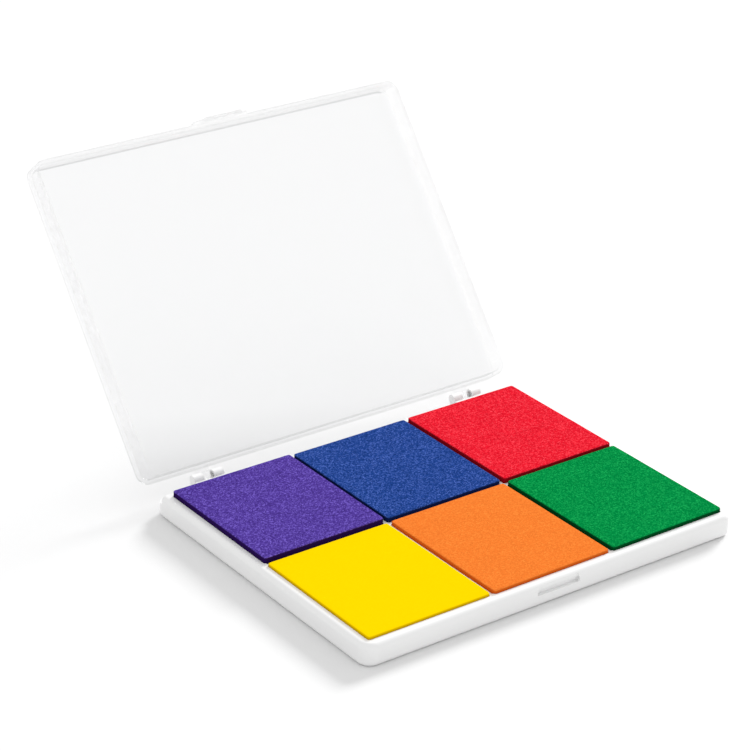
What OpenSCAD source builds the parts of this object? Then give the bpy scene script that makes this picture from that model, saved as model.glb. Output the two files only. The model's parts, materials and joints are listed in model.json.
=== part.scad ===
// Six-colour ink pad: a shallow white tray with a 3 x 2 grid of foam pads
// and a clear lid that swings on two snap-in hinges behind the back wall.
//
// X runs along the front edge, Y from the front edge to the hinge, Z up.
// The origin is the centre of the tray's flat underside.

/* [Tray] */
// Outer width of the tray, side to side
tray_w = 160; // [150:1:175]
// Outer depth of the tray, front to back
tray_d = 127.4; // [120:0.2:135]
// Height of the rim above the table
tray_h = 8.6; // [7.6:0.1:10]
// Radius of the upright corners
corner_r = 5; // [4:0.5:7]
// Radius of the rounded top edge of the rim
rim_r = 2.0; // [0.6:0.1:2.2]
// Radius of the rounded bottom edge
foot_r = 1.8; // [0.6:0.1:2]
// Thickness of the floor under the wells
floor_t = 1.6; // [1.2:0.1:2.4]
// Wall between a well and the outside at the sides
side_wall = 3.4; // [3:0.1:4.5]
// Wall between a well and the outside at the front
front_wall = 3.4; // [3:0.1:4.5]
// Width of the strip behind the wells that carries the hinge
back_strip = 6.1; // [6:0.1:8]
// Wall between a well and the ledge behind it
back_wall = 1.5; // [1.5:0.1:2]
// How far the ledge beside the hinge forks lies below the rim
ledge_drop = 3.0; // [1:0.1:3.4]
// Thickness of the ribs that run front to back between wells
rib_x = 1.4; // [1:0.1:3]
// Thickness of the rib between the two rows of wells
rib_y = 1.2; // [1:0.1:3]
// How far the rib tops lie below the rim
rib_drop = 0.3; // [0:0.1:1]

/* [Ink pads] */
// Gap between a foam pad and the sides of its well
pad_gap = 0.2; // [0.1:0.1:0.8]
// Radius of a foam pad's upright corners
pad_r = 0.8; // [0.4:0.1:2]
// Thickness of the adhesive sheet under each pad
adhesive_t = 0.3; // [0.2:0.1:0.5]
// How far each pad of the back row stands above the rim, left to right
stand_back = [2.1, 1.6, 1.8]; // [1:0.1:3]
// How far each pad of the front row stands above the rim, left to right
stand_front = [1.0, 1.2, 1.5]; // [1:0.1:3]

/* [Lid] */
// How far the lid is open, from flat on the rim
open_angle = 128.5; // [0:0.5:128.5]
// Height of the lid by itself, from its lower edge to its top
lid_h = 9.8; // [6:0.1:11]
// Depth of the lid, front to back
lid_d = 122.7; // [122:0.1:123]
// How far the lid overhangs the tray at each side
lid_overhang = 0.6; // [0:0.1:0.8]
// Thickness of the skirts
skirt_t = 1.4; // [1.2:0.1:1.6]
// Thickness of the plate
plate_t = 1.6; // [1.2:0.1:2]
// Radius of the upright corners of the lid
lid_corner_r = 4.5; // [3:0.5:6]
// Radius of the rounded outer edge of the plate
lid_edge_r = 1.5; // [0.5:0.1:1.5]
// Gap under the skirts when the lid is closed
lid_gap = 0.1; // [0.05:0.05:0.3]

/* [Tab and recess] */
// Width of the recess in the front wall
recess_w = 18; // [14:1:24]
// Depth of the recess into the front wall
recess_deep = 1.4; // [0.8:0.1:1.4]
// Height of the recess's lower edge
recess_z = 4.2; // [3:0.2:5]
// Width of the tab where it leaves the skirt
tab_root_w = 24; // [20:1:30]
// Width of the tab at its tip
tab_tip_w = 15; // [10:1:18]
// How far the tab hangs below the skirt
tab_drop = 3.6; // [2.5:0.1:4.5]
// How far the tab stands proud of the skirt
tab_proud = 1.0; // [0.8:0.1:1.6]

/* [Hinge] */
// Distance from the middle of the tray to the middle of each hinge
hinge_x = 58.3; // [40:0.1:62]
// Outer width of each fork on the tray
fork_w = 12.5; // [11:0.1:14]
// Thickness of one cheek of a fork
cheek_t = 4.0; // [2.6:0.1:4]
// Radius of the knuckles
knuckle_r = 1.9; // [1.9:0.1:2.4]
// Radius of the trunnions on the lid's ears
trunnion_r = 1.2; // [1:0.05:1.3]
// Radial clearance between a trunnion and its bore
running_gap = 0.05; // [0.02:0.01:0.1]

/* [Hidden] */
$fn = 64;
slack = 0.2;

// The wells share what the walls and ribs leave.
columns = 3;
rows = 2;
well_w = (tray_w - 2 * side_wall - (columns - 1) * rib_x) / columns;
well_d = (tray_d - front_wall - back_strip - (rows - 1) * rib_y) / rows;
pitch_x = well_w + rib_x;
pitch_y = well_d + rib_y;
well_r = pad_r + pad_gap;
wells_w = columns * well_w + (columns - 1) * rib_x;
wells_d = rows * well_d + (rows - 1) * rib_y;
rib_step = 1.5 * well_r;
grid_y = -tray_d / 2 + front_wall + wells_d / 2;
ledge_y = tray_d / 2 - back_strip + back_wall;
ledge_z = tray_h - ledge_drop;

// The closed lid stops short of the hinge forks at the back, and its back
// skirt stands just behind the pads.
lid_w = tray_w + 2 * lid_overhang;
lid_front = -tray_d / 2;
lid_back = lid_front + lid_d;
lid_y = (lid_back + lid_front) / 2;
lid_z = tray_h + lid_gap;

// The hinge axis runs along X, just below the rim and just inside the back
// face of the tray.
axis_y = tray_d / 2 - 0.5;
axis_z = tray_h - 0.1;
slot_w = fork_w - 2 * cheek_t;
slot_y = axis_y - knuckle_r - 0.3;
ear_w = slot_w - 2 * slack;
bore_deep = 1.8;
trunnion_l = bore_deep - slack;

// A heel on each ear meets the front of its slot when the lid is fully open.
max_open = 128.5;
heel_y = axis_y - slot_y - 0.05;
heel_z = 2.4;
slot_z = axis_z - norm([heel_y, heel_z]) - slack;

// The catch: a bead on the tab goes into a pocket of the front wall, past a
// shallower strip that runs up to the rim.
tab_in = -tray_d / 2 - 0.1;
tab_out = lid_front - tab_proud;
bead_r = 0.45;
bead_w = 9;
bead_z = 5.7;
strip_deep = 0.4;
strip_z = tray_h - 2.2;

// Cross-section of a slab that is w wide and h tall, with rounded edges:
// top_r at its top and base_r at its base. A radius of 0 leaves a square edge.
module slab_profile(w, h, top_r, base_r) {
    translate([-w / 2, base_r])
        square([w, h - base_r - top_r]);
    translate([-w / 2 + top_r, base_r])
        square([w - 2 * top_r, h - base_r]);
    translate([-w / 2 + base_r, 0])
        square([w - 2 * base_r, h - top_r]);
    for (side = [-1, 1]) {
        if (top_r > 0)
            translate([side * (w / 2 - top_r), h - top_r])
                circle(r = top_r);
        if (base_r > 0)
            translate([side * (w / 2 - base_r), base_r])
                circle(r = base_r);
    }
}

// A slab with upright corners of radius r and the edges of slab_profile.
module rounded_slab(w, d, h, r, top_r, base_r) {
    rotate([90, 0, 0])
        linear_extrude(height = d - 2 * r, center = true)
            slab_profile(w, h, top_r, base_r);
    rotate([90, 0, 90])
        linear_extrude(height = w - 2 * r, center = true)
            slab_profile(d, h, top_r, base_r);
    for (x = [-1, 1], y = [-1, 1])
        translate([x * (w / 2 - r), y * (d / 2 - r), 0])
            rotate_extrude()
                intersection() {
                    slab_profile(2 * r, h, top_r, base_r);
                    square([r, h]);
                }
}

// A rectangle with round corners, centred on the origin.
module rounded_rect(w, d, r) {
    square([w - 2 * r, d], center = true);
    square([w, d - 2 * r], center = true);
    for (x = [-1, 1], y = [-1, 1])
        translate([x * (w / 2 - r), y * (d / 2 - r)])
            circle(r = r);
}

// Extrudes a Y-Z outline along X, centred on x = 0.
module along_x(length) {
    rotate([90, 0, 90])
        linear_extrude(height = length, center = true)
            children();
}

// Puts its children in the well at the given column and row.
module in_well(column, row) {
    x = (column - (columns - 1) / 2) * pitch_x;
    y = grid_y + (row - (rows - 1) / 2) * pitch_y;
    translate([x, y, 0])
        children();
}

// Puts its children at both hinges.
module at_hinges() {
    for (side = [-1, 1])
        translate([side * hinge_x, 0, 0])
            children();
}

// Outline of one cheek: a knuckle, and the foot that joins it to the tray.
module cheek_outline() {
    translate([axis_y, axis_z])
        circle(r = knuckle_r);
    polygon([
        [axis_y - knuckle_r, axis_z],
        [axis_y - knuckle_r, slot_z],
        [tray_d / 2 - 1, slot_z - 2],
        [tray_d / 2, slot_z - 1],
        [axis_y + knuckle_r, axis_z]
    ]);
}

// The recess: a pocket with round corners, and the strip above it.
module recess() {
    pocket_h = strip_z - recess_z;
    translate([0, -tray_d / 2, recess_z + pocket_h / 2])
        rotate([90, 0, 0])
            linear_extrude(height = 2 * recess_deep, center = true)
                rounded_rect(recess_w, pocket_h, 0.5);
    translate([-recess_w / 2 + 0.5, -tray_d / 2 - 1, strip_z - 0.6])
        cube([recess_w - 1, 1 + strip_deep, tray_h]);
}

// What is cut away above the ledge: one length between the forks and one
// beyond each of them.
module ledge_space() {
    inner = hinge_x - fork_w / 2;
    outer = hinge_x + fork_w / 2;
    translate([-inner, ledge_y, ledge_z])
        cube([2 * inner, back_strip, tray_h]);
    for (x = [-tray_w, outer])
        translate([x, ledge_y, ledge_z])
            cube([tray_w - outer, back_strip, tray_h]);
}

module tray() {
    color("white")
    difference() {
        union() {
            rounded_slab(tray_w, tray_d, tray_h, corner_r, rim_r, foot_r);
            at_hinges()
                along_x(fork_w)
                    cheek_outline();
        }
        for (column = [0:columns - 1], row = [0:rows - 1])
            in_well(column, row)
                translate([0, 0, floor_t])
                    linear_extrude(height = tray_h)
                        rounded_rect(well_w, well_d, well_r);
        // The ribs stop a little below the rim, except where they meet the walls.
        translate([0, grid_y, tray_h - rib_drop])
            linear_extrude(height = tray_h)
                square([wells_w - rib_step, wells_d - rib_step], center = true);
        // Slot and blind bores of each fork.
        at_hinges() {
            translate([-slot_w / 2, slot_y, slot_z])
                cube([slot_w, tray_d, 2 * tray_h]);
            translate([0, axis_y, axis_z])
                rotate([0, 90, 0])
                    cylinder(r = trunnion_r + running_gap, h = slot_w + 2 * bore_deep, center = true);
        }
        recess();
        ledge_space();
        // Groove under the ledge, which keeps the moulding's walls even.
        translate([-hinge_x + fork_w, tray_d / 2 - 4.2, -1])
            cube([2 * (hinge_x - fork_w), 2.5, ledge_z - floor_t + 1]);
    }
}

// Front view of the tab, with z measured from the skirt's lower edge. Its
// sides are two hollow curves that run into the skirt.
module tab_outline() {
    run = (tab_root_w - tab_tip_w) / 2;
    curve_r = (run * run + tab_drop * tab_drop) / (2 * tab_drop);
    difference() {
        translate([-tab_root_w / 2, -tab_drop])
            square([tab_root_w, tab_drop + 3]);
        for (side = [-1, 1])
            translate([side * tab_root_w / 2, -curve_r])
                circle(r = curve_r);
    }
}

// Side view of the tab: it leaves the skirt in a slope and hangs down.
module tab_side() {
    polygon([
        [lid_front + skirt_t / 2, lid_z],
        [lid_front + skirt_t / 2, lid_z + 2.8],
        [lid_front, lid_z + 2.8],
        [tab_out, lid_z + 1],
        [tab_out, lid_z - tab_drop + 0.5],
        [tab_out + 0.4, lid_z - tab_drop],
        [tab_in, lid_z - tab_drop],
        [tab_in, lid_z]
    ]);
}

module tab() {
    intersection() {
        translate([0, lid_front + 3, lid_z])
            rotate([90, 0, 0])
                linear_extrude(height = 6)
                    tab_outline();
        along_x(tab_root_w)
            tab_side();
    }
    translate([0, tab_in, bead_z])
        rotate([0, 90, 0])
            cylinder(r = bead_r, h = bead_w, center = true);
}

// One ear of the closed lid: a hub, the arm that joins it to the back skirt,
// and the heel, which is drawn as it stands when the lid is open.
module ear_outline() {
    translate([axis_y, axis_z]) {
        circle(r = knuckle_r);
        rotate(max_open)
            polygon([[0, 0], [-heel_y, 0], [-heel_y, -heel_z], [-0.6, -heel_z]]);
    }
    polygon([
        [lid_back - skirt_t / 2, lid_z + 0.1],
        [axis_y, lid_z + 0.1],
        [axis_y + knuckle_r / 2, axis_z + knuckle_r * sqrt(3) / 2],
        [lid_back - skirt_t / 2, axis_z + 4.4]
    ]);
}

// The lid as it lies on the rim.
module lid_closed() {
    difference() {
        translate([0, lid_y, lid_z])
            rounded_slab(lid_w, lid_d, lid_h, lid_corner_r, lid_edge_r, 0);
        translate([0, lid_y, lid_z - 1])
            rounded_slab(lid_w - 2 * skirt_t, lid_d - 2 * skirt_t, lid_h + 1 - plate_t,
                         lid_corner_r - skirt_t, 0.8, 0);
    }
    tab();
    at_hinges() {
        along_x(ear_w)
            ear_outline();
        translate([0, axis_y, axis_z])
            rotate([0, 90, 0])
                cylinder(r = trunnion_r, h = slot_w + 2 * trunnion_l, center = true);
    }
}

module lid() {
    color("gainsboro")
        translate([0, axis_y, axis_z])
            rotate([-open_angle, 0, 0])
                translate([0, -axis_y, -axis_z])
                    lid_closed();
}

// A foam pad of the given column and row.
module foam_pad(column, row, stand) {
    base = floor_t + adhesive_t;
    in_well(column, row)
        translate([0, 0, base])
            linear_extrude(height = tray_h + stand - base)
                rounded_rect(well_w - 2 * pad_gap, well_d - 2 * pad_gap, pad_r);
}

// The adhesive sheet between a foam pad and the floor of its well.
module adhesive(column, row) {
    margin = pad_gap + 1;
    in_well(column, row)
        translate([0, 0, floor_t])
            linear_extrude(height = adhesive_t)
                rounded_rect(well_w - 2 * margin, well_d - 2 * margin, pad_r);
}

module pad_purple() { color("slateblue") foam_pad(0, 1, stand_back[0]); }
module pad_blue() { color("royalblue") foam_pad(1, 1, stand_back[1]); }
module pad_red() { color("crimson") foam_pad(2, 1, stand_back[2]); }
module pad_yellow() { color("gold") foam_pad(0, 0, stand_front[0]); }
module pad_orange() { color("darkorange") foam_pad(1, 0, stand_front[1]); }
module pad_green() { color("seagreen") foam_pad(2, 0, stand_front[2]); }

module adhesive_purple() { color("ivory") adhesive(0, 1); }
module adhesive_blue() { color("ivory") adhesive(1, 1); }
module adhesive_red() { color("ivory") adhesive(2, 1); }
module adhesive_yellow() { color("ivory") adhesive(0, 0); }
module adhesive_orange() { color("ivory") adhesive(1, 0); }
module adhesive_green() { color("ivory") adhesive(2, 0); }

tray();
lid();
pad_purple();
pad_blue();
pad_red();
pad_yellow();
pad_orange();
pad_green();
adhesive_purple();
adhesive_blue();
adhesive_red();
adhesive_yellow();
adhesive_orange();
adhesive_green();
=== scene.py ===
"""The looks of the ink pad: inked foam pads in a white tray under a clear hinged lid.

Everything is in metres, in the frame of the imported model: X along the front edge, Y towards
the hinge, Z up, with the origin at the centre of the tray's underside.
"""

import json
import math

import bpy
from mathutils import Matrix, Quaternion, Vector, noise


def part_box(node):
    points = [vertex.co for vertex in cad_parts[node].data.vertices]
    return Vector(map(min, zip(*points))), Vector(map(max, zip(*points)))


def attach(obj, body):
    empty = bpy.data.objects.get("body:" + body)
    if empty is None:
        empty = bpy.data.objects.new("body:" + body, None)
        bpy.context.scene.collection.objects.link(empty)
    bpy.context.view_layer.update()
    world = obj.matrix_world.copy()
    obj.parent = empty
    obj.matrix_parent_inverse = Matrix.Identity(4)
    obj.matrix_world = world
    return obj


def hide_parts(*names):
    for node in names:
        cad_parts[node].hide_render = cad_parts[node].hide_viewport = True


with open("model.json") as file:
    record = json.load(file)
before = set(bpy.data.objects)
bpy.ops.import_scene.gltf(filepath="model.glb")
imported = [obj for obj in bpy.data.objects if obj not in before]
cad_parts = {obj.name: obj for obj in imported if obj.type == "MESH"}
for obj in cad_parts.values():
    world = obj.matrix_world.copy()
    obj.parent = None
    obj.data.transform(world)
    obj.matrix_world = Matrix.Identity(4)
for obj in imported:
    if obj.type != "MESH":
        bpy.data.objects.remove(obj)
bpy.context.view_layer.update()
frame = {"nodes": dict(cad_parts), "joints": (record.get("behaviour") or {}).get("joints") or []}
MM = 0.001

# ------------------------------------------------------------------------ foam

# Name, tone of the top, tone of the cut sides (ink with painted shade), strength of the grain,
# white in its painted glints, seed.
FOAMS = (
    ("purple", (0.070, 0.035, 0.266), (0.020, 0.006, 0.070), 1.0, 0.08, 11),
    ("blue", (0.012, 0.047, 0.228), (0.006, 0.014, 0.080), 1.0, 0.08, 12),
    ("red", (0.725, 0.009, 0.024), (0.300, 0.004, 0.010), 0.8, 0.09, 13),
    ("yellow", (0.840, 0.575, 0.0002), (0.700, 0.430, 0.001), 0.05, 0.02, 14),
    ("orange", (0.770, 0.176, 0.025), (0.640, 0.110, 0.010), 0.35, 0.03, 15),
    ("green", (0.0005, 0.218, 0.047), (0.001, 0.060, 0.014), 0.8, 0.02, 16),
)
FOAM_GLOSS = 0.0

# Brightness of the pores, the painted glints and the wetter patches, as shares of the top's tone.
PORE_SHADE = 0.45
PAINTED_GLINT_SHADE = 2.2
SOAKED_SHADE = 0.7

# Depths below the top at which the cut sides' darker tone, partly painted shade, starts and is full.
SIDE_START = (0.2 * MM, 0.4 * MM)

# Radii of the block's top edge and upright corners.
EDGE_ROUND = 0.2 * MM
CORNER_ROUND = 0.8 * MM

# The block's mesh: where the grid lines cross its top edge, as shares of the edge's radius,
# the spacing of the lines between the edges, and the rows of faces down each side.
EDGE_SHARES = (0.0, 0.08, 0.3, 0.62, 1.0)
GRID_STEP = 0.8 * MM
SIDE_ROWS = 9

# Height of each kind of unevenness and how often it repeats per millimetre: broad waves and
# fine grit on the top, which lies TOP_SINK lower to make room for them, and a rasp on the
# sides, whose pattern runs through SIDE_SPAN millimetres from top to bottom.
TOP_SINK = 0.05 * MM
WAVE, WAVE_RATE = 0.05 * MM, 0.07
GRIT, GRIT_RATE = 0.025 * MM, 0.9
RASP, RASP_RATE = 0.05 * MM, 1.1
SIDE_SPAN = 7.0

# How far the noise moves along X and Y, in its own units, for each step of the seed.
SEED_SHIFT = (3.1, 1.7)

# --------------------------------------------------------------- plastic, sheet

TRAY_DIM = (0.845, 0.845, 0.845)
TRAY_LIGHT = (0.86, 0.86, 0.858)
SHEET_DARK = (0.72, 0.66, 0.5)
SHEET_PALE = (0.86, 0.82, 0.7)

# Both plastics are polystyrene. MIRROR_HEAD_ON is the share of light that its surface
# reflects when seen straight on, and MIRROR_POWER is the power in Schlick's formula.
PLASTIC_IOR = 1.5
MIRROR_HEAD_ON = 0.04
MIRROR_POWER = 5.0

# Tints of the clear lid. LID_SHADE is the share of the key light that passes each surface.
LID_BODY = (0.97, 0.972, 0.975)
LID_SHADE = (0.82, 0.82, 0.823)
PLATE_TINT = (0.966, 0.967, 0.969)
HINGE_PAINTED_SHADE = (0.90, 0.901, 0.903)
SKIRT_PAINTED_LIGHT = (0.995, 0.995, 0.996)
CORNER_PAINTED_SHADE = (0.72, 0.72, 0.725)

# Share of the light that the plate bends, and what the skirts add to it.
PLATE_BEND = 0.05
SKIRT_BEND = 0.2

# The open angle in degrees, and the lid's parts, measured in the closed lid: the plate's
# underside above the hinge axis, the lid's middle out from the axis towards the free edge,
# and the inner faces of the front and back skirts on either side of that middle.
LID_OPEN_ANGLE = 128.5
PLATE_UNDERSIDE = 8.4 * MM
LID_MIDDLE = 65.55 * MM
SKIRT_INSIDE = 59.95 * MM

# The painted dark line in the inner corners, a painted shade for light lost where the plastic bends:
# how far its centre lies from the plate and from the skirt, and its solid and outermost half widths
# down the skirt and along the plate.
CORNER_OFFSET = 0.35 * MM
CORNER_TALL = (0.2 * MM, 0.35 * MM)
CORNER_WIDE = (0.5 * MM, 0.7 * MM)

# Depths below the plate at which the skirts' lighter tint, a painted highlight, starts and is full,
# and distances from the hinge at which their bent light does.
SKIRT_START = (0.2 * MM, 0.8 * MM)
BEND_START = (10.0 * MM, 20.0 * MM)

# Distances from the hinge at which the painted shade there, a greyer tint standing in for the soft
# shade seen through the plate near the hinge, is full and has gone. Both shrink by the slope below
# for each metre to the right.
HINGE_SHADE_REACH = (-8.8 * MM, 16.2 * MM)
HINGE_SHADE_SLOPE = 0.18

# ----------------------------------------------------------------------- studio

FLOOR_HALF = 4.0
FLOOR_WHITE = 0.8
WORLD_LIGHT = 0.9

# The key light's strength, its width in degrees, and the way that its rays travel.
KEY_LIGHT = 2.7
KEY_WIDTH = 17.8
KEY_DIRECTION = (-4.98, -2.02, -2.82)

# The camera's place, its azimuth, elevation and roll in degrees, its lens and sensor in
# millimetres, and the nearest and farthest distances that it sees.
CAMERA_PLACE = (-0.5198, -0.6576, 0.4628)
CAMERA_ANGLES = (-36.60, 25.80, 1.18)
CAMERA_LENS = 129.8
CAMERA_SENSOR = 36.0
CAMERA_RANGE = (0.01, 50.0)

# Enough bounces for light to cross every wall of the clear lid.
LIGHT_BOUNCES = 24


# ---------------------------------------------------------------- node helpers


def new_material(name):
    mat = bpy.data.materials.new(name)
    mat.use_nodes = True
    tree = mat.node_tree
    tree.nodes.clear()
    return mat, tree


def feed(tree, socket, value):
    """Links the socket to another node's output, or sets it to a plain value."""
    if isinstance(value, bpy.types.NodeSocket):
        tree.links.new(value, socket)
    else:
        socket.default_value = value


def add(tree, kind, **inputs):
    """A node of this kind, with its sockets fed by name."""
    node = tree.nodes.new(kind)
    for key, value in inputs.items():
        feed(tree, node.inputs[key.replace("_", " ")], value)
    return node


def object_coords(tree):
    return add(tree, "ShaderNodeTexCoord").outputs["Object"]


def noise_tex(tree, where, scale, detail=2.0, rough=0.5):
    node = add(tree, "ShaderNodeTexNoise", Vector=where, Scale=scale, Detail=detail, Roughness=rough)
    return node.outputs["Fac"]


def cells_tex(tree, where, scale):
    """Random colour of each cell, and the distance to its centre."""
    node = add(tree, "ShaderNodeTexVoronoi", Vector=where, Scale=scale)
    return node.outputs["Color"], node.outputs["Distance"]


def remap(tree, value, low, high, to_low=0.0, to_high=1.0):
    node = add(tree, "ShaderNodeMapRange", Value=value)
    node.inputs["From Min"].default_value = low
    node.inputs["From Max"].default_value = high
    node.inputs["To Min"].default_value = to_low
    node.inputs["To Max"].default_value = to_high
    return node.outputs["Result"]


def calc(tree, operation, *values):
    node = tree.nodes.new("ShaderNodeMath")
    node.operation = operation
    for socket, value in zip(node.inputs, values):
        feed(tree, socket, value)
    return node.outputs[0]


def distance_between(tree, value, place):
    """How far a value lies from a place, on either side of it."""
    return calc(tree, "ABSOLUTE", calc(tree, "SUBTRACT", value, place))


def distance_along(tree, where, direction, start):
    """How far a point lies from start, measured along the direction."""
    node = tree.nodes.new("ShaderNodeVectorMath")
    node.operation = "DOT_PRODUCT"
    feed(tree, node.inputs[0], where)
    feed(tree, node.inputs[1], direction)
    return calc(tree, "SUBTRACT", node.outputs["Value"], direction.dot(start))


def blend_colours(tree, share, first, second):
    node = tree.nodes.new("ShaderNodeMix")
    node.data_type = "RGBA"
    for name, value in (("Factor", share), ("A", first), ("B", second)):
        socket = next(s for s in node.inputs if s.name == name and s.enabled)
        feed(tree, socket, (*value, 1.0) if isinstance(value, tuple) else value)
    return next(s for s in node.outputs if s.enabled)


def bump(tree, height, strength, distance):
    node = add(tree, "ShaderNodeBump", Height=height, Strength=strength, Distance=distance)
    return node.outputs["Normal"]


def mix_shaders(tree, share, first, second):
    node = tree.nodes.new("ShaderNodeMixShader")
    for socket, value in zip(node.inputs, (share, first, second)):
        feed(tree, socket, value)
    return node.outputs[0]


def finish_surface(tree, shader):
    out = tree.nodes.new("ShaderNodeOutputMaterial")
    tree.links.new(shader, out.inputs["Surface"])


# ------------------------------------------------------------------- materials


def tinted(colour, share, white=0.0):
    """The colour made darker or lighter, with a little white added."""
    return tuple(min(1.0, channel * share + white) for channel in colour)


def foam_material(name, top_tone, side_ink_and_shade, grain, white, top):
    """Inked foam: painted glints on top, and darker cut sides, partly ink and partly painted shade."""
    mat, tree = new_material("foam_" + name)
    where = object_coords(tree)
    cell, middle = cells_tex(tree, where, scale=2600.0)
    value = add(tree, "ShaderNodeSeparateColor", Color=cell).outputs["Red"]
    fine = noise_tex(tree, where, scale=1900.0, detail=3.0, rough=0.6)
    broad = noise_tex(tree, where, scale=160.0, detail=3.0)
    tone = calc(tree, "ADD", calc(tree, "MULTIPLY", value, 0.5), calc(tree, "MULTIPLY", fine, 0.5))

    pore = remap(tree, tone, low=0.5, high=0.2, to_high=0.8 * grain)
    # Painted glints: lighter specks painted into the colour in place of the foam's glints of light.
    painted_glint = remap(tree, tone, low=0.54, high=0.85, to_high=0.9 * grain)
    soaked = remap(tree, broad, low=0.35, high=0.75, to_high=0.2 * grain)
    colour = blend_colours(tree, pore, top_tone, tinted(top_tone, PORE_SHADE))
    colour = blend_colours(tree, painted_glint, colour, tinted(top_tone, PAINTED_GLINT_SHADE, white))
    colour = blend_colours(tree, soaked, colour, tinted(top_tone, SOAKED_SHADE))

    # The cut sides' darker tone is partly the ink's own and partly painted shade.
    height = add(tree, "ShaderNodeSeparateXYZ", Vector=where).outputs["Z"]
    side = remap(tree, height, low=top - SIDE_START[0], high=top - SIDE_START[1])
    colour = blend_colours(tree, side, colour, side_ink_and_shade)

    relief = calc(tree, "ADD", tone, calc(tree, "MULTIPLY", middle, 0.4))
    shader = add(
        tree,
        "ShaderNodeBsdfPrincipled",
        Base_Color=colour,
        Roughness=remap(tree, value, low=0.1, high=0.95, to_low=0.9, to_high=0.6),
        Normal=bump(tree, relief, strength=0.3 * grain + 0.05, distance=0.12 * MM),
    )
    shader.inputs["Specular IOR Level"].default_value = FOAM_GLOSS
    finish_surface(tree, shader.outputs[0])
    return mat


def tray_material():
    """White polystyrene with the faint ripple and uneven gloss of a moulding."""
    mat, tree = new_material("white_plastic")
    where = object_coords(tree)
    flow = noise_tex(tree, where, scale=45.0, detail=3.0)
    fine = noise_tex(tree, where, scale=900.0)
    shader = add(
        tree,
        "ShaderNodeBsdfPrincipled",
        Base_Color=blend_colours(tree, remap(tree, flow, low=0.3, high=0.7), TRAY_DIM, TRAY_LIGHT),
        Roughness=remap(tree, flow, low=0.3, high=0.7, to_low=0.27, to_high=0.31),
        Normal=bump(tree, fine, strength=0.02, distance=0.05 * MM),
    )
    shader.inputs["IOR"].default_value = PLASTIC_IOR
    finish_surface(tree, shader.outputs[0])
    return mat


def lid_places(tree, where):
    """Places in the closed lid, from the hinge axis: height, distance out, distance across."""
    angle = math.radians(LID_OPEN_ANGLE)
    pin = Vector(frame["joints"][0]["pos_m"])
    up = Vector((0.0, math.sin(angle), math.cos(angle)))
    out = Vector((0.0, -math.cos(angle), math.sin(angle)))
    right = Vector((1.0, 0.0, 0.0))
    return [distance_along(tree, where, direction, pin) for direction in (up, out, right)]


def lid_film(tree, where):
    """Tint of the clear plastic, and the share of what is seen through it that it bends.

    The plate is greyer than the skirts, whose lighter tint is a painted highlight of their lit band.
    Towards the hinge at its left the plate carries a painted shade, and along its front and back
    edges the corner carries a painted dark line, the greyest tint.
    """
    height, out, across = lid_places(tree, where)

    # Painted shade: the plate is tinted greyer near the hinge, reaching further at its left.
    from_hinge = calc(tree, "ADD", calc(tree, "MULTIPLY", across, HINGE_SHADE_SLOPE), out)
    hinge_shade = remap(tree, from_hinge, low=HINGE_SHADE_REACH[1], high=HINGE_SHADE_REACH[0])
    plate = blend_colours(tree, hinge_shade, PLATE_TINT, HINGE_PAINTED_SHADE)

    depth = calc(tree, "SUBTRACT", PLATE_UNDERSIDE, height)
    skirt = remap(tree, depth, low=SKIRT_START[0], high=SKIRT_START[1])
    # Painted highlight: the skirts get a clearer tint than the plate, for the bright band they show.
    colour = blend_colours(tree, skirt, plate, SKIRT_PAINTED_LIGHT)

    # Painted shade: a dark line painted in the inner corners where the plate meets the skirts.
    off_corner = distance_between(tree, depth, CORNER_OFFSET)
    off_middle = distance_between(tree, out, LID_MIDDLE)
    off_skirt = distance_between(tree, off_middle, SKIRT_INSIDE - CORNER_OFFSET)
    tall = remap(tree, off_corner, low=CORNER_TALL[1], high=CORNER_TALL[0])
    wide = remap(tree, off_skirt, low=CORNER_WIDE[1], high=CORNER_WIDE[0])
    tint = blend_colours(tree, calc(tree, "MULTIPLY", tall, wide), colour, CORNER_PAINTED_SHADE)

    beyond = remap(tree, out, low=BEND_START[0], high=BEND_START[1])
    bent = calc(tree, "MULTIPLY", skirt, beyond)
    bend = calc(tree, "ADD", calc(tree, "MULTIPLY", bent, SKIRT_BEND), PLATE_BEND)
    return tint, bend


def lid_material():
    """Clear polystyrene: see-through and glossy, with only a part of its light bent.

    Its walls are thin, so most of what lies behind it is seen in place. The key light passes
    straight through and loses a little in each wall, which gives the lid a pale shadow.
    """
    mat, tree = new_material("clear_plastic")
    where = object_coords(tree)
    flow = noise_tex(tree, where, scale=22.0)
    haze = noise_tex(tree, where, scale=140.0, detail=4.0, rough=0.7)
    rough = remap(tree, haze, low=0.35, high=0.8, to_low=0.015, to_high=0.05)
    ripple = bump(tree, flow, strength=0.03, distance=2.0 * MM)

    solid = add(tree, "ShaderNodeBsdfPrincipled", Roughness=rough, Normal=ripple)
    solid.inputs["Base Color"].default_value = (*LID_BODY, 1.0)
    solid.inputs["Transmission Weight"].default_value = 1.0
    solid.inputs["IOR"].default_value = PLASTIC_IOR

    tint, bend = lid_film(tree, where)
    film = add(tree, "ShaderNodeBsdfTransparent", Color=tint)
    gloss = add(tree, "ShaderNodeBsdfGlossy", Roughness=rough, Normal=ripple)
    facing = add(tree, "ShaderNodeLayerWeight", Blend=0.5).outputs["Facing"]
    slant = calc(tree, "POWER", facing, MIRROR_POWER)
    mirror = calc(tree, "MULTIPLY_ADD", slant, 1.0 - MIRROR_HEAD_ON, MIRROR_HEAD_ON)
    thin = mix_shaders(tree, mirror, film.outputs[0], gloss.outputs[0])

    body = mix_shaders(tree, bend, thin, solid.outputs[0])
    shade = add(tree, "ShaderNodeBsdfTransparent", Color=(*LID_SHADE, 1.0))
    lamps = add(tree, "ShaderNodeLightPath").outputs["Is Shadow Ray"]
    finish_surface(tree, mix_shaders(tree, lamps, body, shade.outputs[0]))
    return mat


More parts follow.
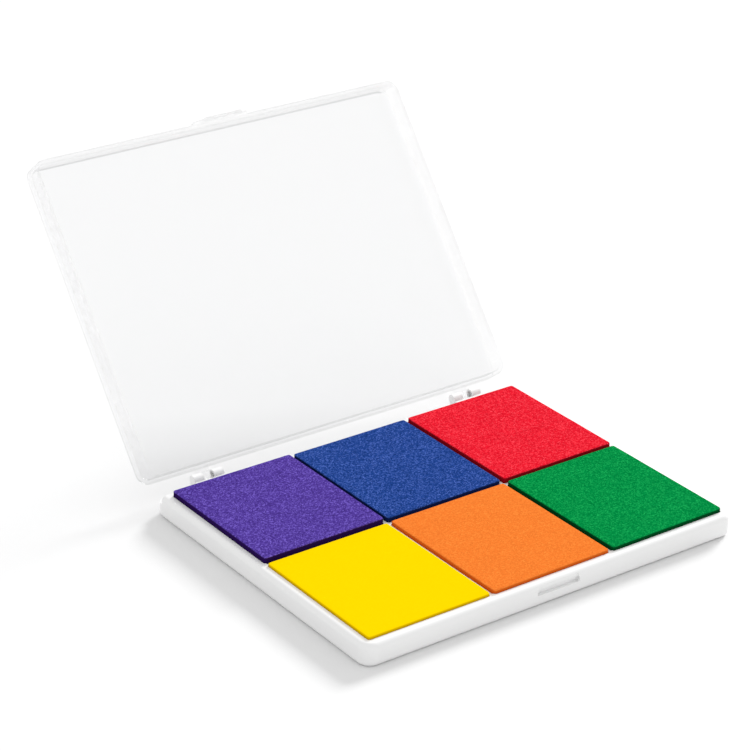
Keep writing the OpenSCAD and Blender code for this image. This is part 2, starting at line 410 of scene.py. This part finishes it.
def adhesive_material():
    """Off-white tissue soaked with adhesive."""
    mat, tree = new_material("adhesive_sheet")
    where = object_coords(tree)
    fibres = noise_tex(tree, where, scale=700.0, detail=5.0, rough=0.7)
    shader = add(
        tree,
        "ShaderNodeBsdfPrincipled",
        Base_Color=blend_colours(tree, remap(tree, fibres, low=0.3, high=0.7), SHEET_DARK, SHEET_PALE),
        Roughness=remap(tree, fibres, low=0.3, high=0.7, to_low=0.45, to_high=0.8),
        Normal=bump(tree, fibres, strength=0.3, distance=0.1 * MM),
    )
    finish_surface(tree, shader.outputs[0])
    return mat


def floor_material():
    mat, tree = new_material("floor_white")
    shader = add(tree, "ShaderNodeBsdfDiffuse", Color=(FLOOR_WHITE, FLOOR_WHITE, FLOOR_WHITE, 1.0))
    finish_surface(tree, shader.outputs[0])
    return mat


def set_material(obj, mat):
    obj.data.materials.clear()
    obj.data.materials.append(mat)


# -------------------------------------------------------------------- foam pads


def stations(half):
    """Places of the grid lines from -half to half, close together near the edges."""
    near = [EDGE_ROUND * share for share in EDGE_SHARES]
    run = 2 * half - 2 * EDGE_ROUND
    count = max(2, round(run / GRID_STEP))
    middle = [EDGE_ROUND + run * i / count for i in range(1, count)]
    return [-half + d for d in near + middle] + [half - d for d in reversed(near)]


def round_corner(x, y, half_x, half_y):
    """Moves a point of the square-cornered block to its round-cornered place."""
    start_x = half_x - CORNER_ROUND
    start_y = half_y - CORNER_ROUND
    u = abs(x) - start_x
    v = abs(y) - start_y
    if u <= 0 or v <= 0:
        return x, y
    scale = max(u, v) / math.hypot(u, v)
    return math.copysign(start_x + u * scale, x), math.copysign(start_y + v * scale, y)


def top_point(x, y, half_x, half_y, shift):
    """Place of a grid point on the top, from the middle of the pad's top."""
    inside = min(half_x - abs(x), half_y - abs(y), EDGE_ROUND)
    drop = EDGE_ROUND - math.sqrt(max(0.0, EDGE_ROUND**2 - (EDGE_ROUND - inside) ** 2))
    px, py = round_corner(x, y, half_x, half_y)
    at = Vector((px, py, 0.0)) / MM
    wave = WAVE * noise.noise(at * WAVE_RATE + shift)
    grit = GRIT * noise.noise(at * GRIT_RATE + shift) * inside / EDGE_ROUND
    return px, py, wave + grit - drop - TOP_SINK


def grid_faces(columns, rows):
    """Quads of a grid of points, and the points round its rim."""
    last_x, last_y = columns - 1, rows - 1

    def index(i, j):
        return j * columns + i

    faces = [
        (index(i, j), index(i + 1, j), index(i + 1, j + 1), index(i, j + 1))
        for j in range(last_y)
        for i in range(last_x)
    ]
    rim = [index(i, 0) for i in range(last_x)]
    rim += [index(last_x, j) for j in range(last_y)]
    rim += [index(i, last_y) for i in range(last_x, 0, -1)]
    rim += [index(0, j) for j in range(last_y, 0, -1)]
    return faces, rim


def add_sides(points, faces, rim, middle_x, middle_y, bottom, shift):
    """Adds rough walls from the rim down to the bottom, and the flat underside."""
    above = rim
    for row in range(1, SIDE_ROWS + 1):
        share = row / SIDE_ROWS
        rasp = RASP if row < SIDE_ROWS else 0.0
        below = []
        for k in rim:
            x, y, z = points[k]
            at = Vector((x / MM, y / MM, share * SIDE_SPAN))
            push = rasp * noise.noise(at * RASP_RATE + shift)
            away = Vector((x - middle_x, y - middle_y)).normalized()
            below.append(len(points))
            points.append((x + away.x * push, y + away.y * push, z + (bottom - z) * share))
        for k in range(len(rim)):
            n = (k + 1) % len(rim)
            faces.append((above[n], above[k], below[k], below[n]))
        above = below
    faces.append(tuple(reversed(above)))


def foam_block(name, low, high, seed):
    """A block of foam with sharp cut edges, a slightly uneven top and rough cut sides."""
    half_x, half_y = (high.x - low.x) / 2, (high.y - low.y) / 2
    middle_x, middle_y = (high.x + low.x) / 2, (high.y + low.y) / 2
    shift = Vector((seed * SEED_SHIFT[0], seed * SEED_SHIFT[1], 0.0))
    xs = stations(half_x)
    ys = stations(half_y)

    points = []
    for y in ys:
        for x in xs:
            px, py, pz = top_point(x, y, half_x, half_y, shift)
            points.append((middle_x + px, middle_y + py, high.z + pz))
    faces, rim = grid_faces(len(xs), len(ys))
    add_sides(points, faces, rim, middle_x, middle_y, low.z, shift)

    mesh = bpy.data.meshes.new(name)
    mesh.from_pydata(points, [], faces)
    mesh.shade_smooth()
    mesh.validate()
    obj = bpy.data.objects.new(name, mesh)
    bpy.context.scene.collection.objects.link(obj)
    return obj


def make_foams():
    for name, top_tone, side_ink_and_shade, grain, white, seed in FOAMS:
        node = "pad_" + name
        low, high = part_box(node)
        pad = foam_block("foam_" + name, low, high, seed)
        set_material(pad, foam_material(name, top_tone, side_ink_and_shade, grain, white, high.z))
        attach(pad, "base")
        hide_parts(node)


def dress_cad_nodes():
    set_material(frame["nodes"]["tray"], tray_material())
    set_material(frame["nodes"]["lid"], lid_material())
    adhesive = adhesive_material()
    for foam in FOAMS:
        set_material(frame["nodes"]["adhesive_" + foam[0]], adhesive)


# -------------------------------------------------------- floor, lights, camera


def make_floor():
    corners = [(x * FLOOR_HALF, y * FLOOR_HALF, 0) for x, y in ((-1, -1), (1, -1), (1, 1), (-1, 1))]
    mesh = bpy.data.meshes.new("floor")
    mesh.from_pydata(corners, [], [(0, 1, 2, 3)])
    obj = bpy.data.objects.new("floor", mesh)
    bpy.context.scene.collection.objects.link(obj)
    set_material(obj, floor_material())


def make_world():
    """Even white surroundings."""
    world = bpy.data.worlds.new("studio")
    world.use_nodes = True
    background = next(n for n in world.node_tree.nodes if n.type == "BACKGROUND")
    background.inputs["Color"].default_value = (1.0, 1.0, 1.0, 1.0)
    background.inputs["Strength"].default_value = WORLD_LIGHT
    bpy.context.scene.world = world


def make_light():
    """One broad soft light from the right, a little behind the object."""
    lamp = bpy.data.lights.new("key", "SUN")
    lamp.angle = math.radians(KEY_WIDTH)
    lamp.energy = KEY_LIGHT
    obj = bpy.data.objects.new("key", lamp)
    obj.rotation_euler = Vector(KEY_DIRECTION).to_track_quat("-Z", "Y").to_euler()
    bpy.context.scene.collection.objects.link(obj)


def make_camera():
    """A long lens, to the front left of the tray and above it, turned a little about its axis."""
    azimuth, elevation, roll = (math.radians(angle) for angle in CAMERA_ANGLES)
    level = math.cos(elevation)
    ahead = Vector((-math.sin(azimuth) * level, math.cos(azimuth) * level, -math.sin(elevation)))
    turn = ahead.to_track_quat("-Z", "Y") @ Quaternion((0, 0, 1), roll)
    lens = bpy.data.cameras.new("camera")
    lens.sensor_width = CAMERA_SENSOR
    lens.lens = CAMERA_LENS
    lens.clip_start, lens.clip_end = CAMERA_RANGE
    cam = bpy.data.objects.new("camera", lens)
    cam.matrix_world = Matrix.Translation(Vector(CAMERA_PLACE)) @ turn.to_matrix().to_4x4()
    bpy.context.scene.collection.objects.link(cam)
    bpy.context.scene.camera = cam


scene = bpy.context.scene
scene.view_settings.view_transform = "Standard"
scene.cycles.max_bounces = LIGHT_BOUNCES
scene.cycles.transmission_bounces = LIGHT_BOUNCES
scene.cycles.transparent_max_bounces = LIGHT_BOUNCES

dress_cad_nodes()
make_foams()
make_floor()
make_world()
make_light()
make_camera()
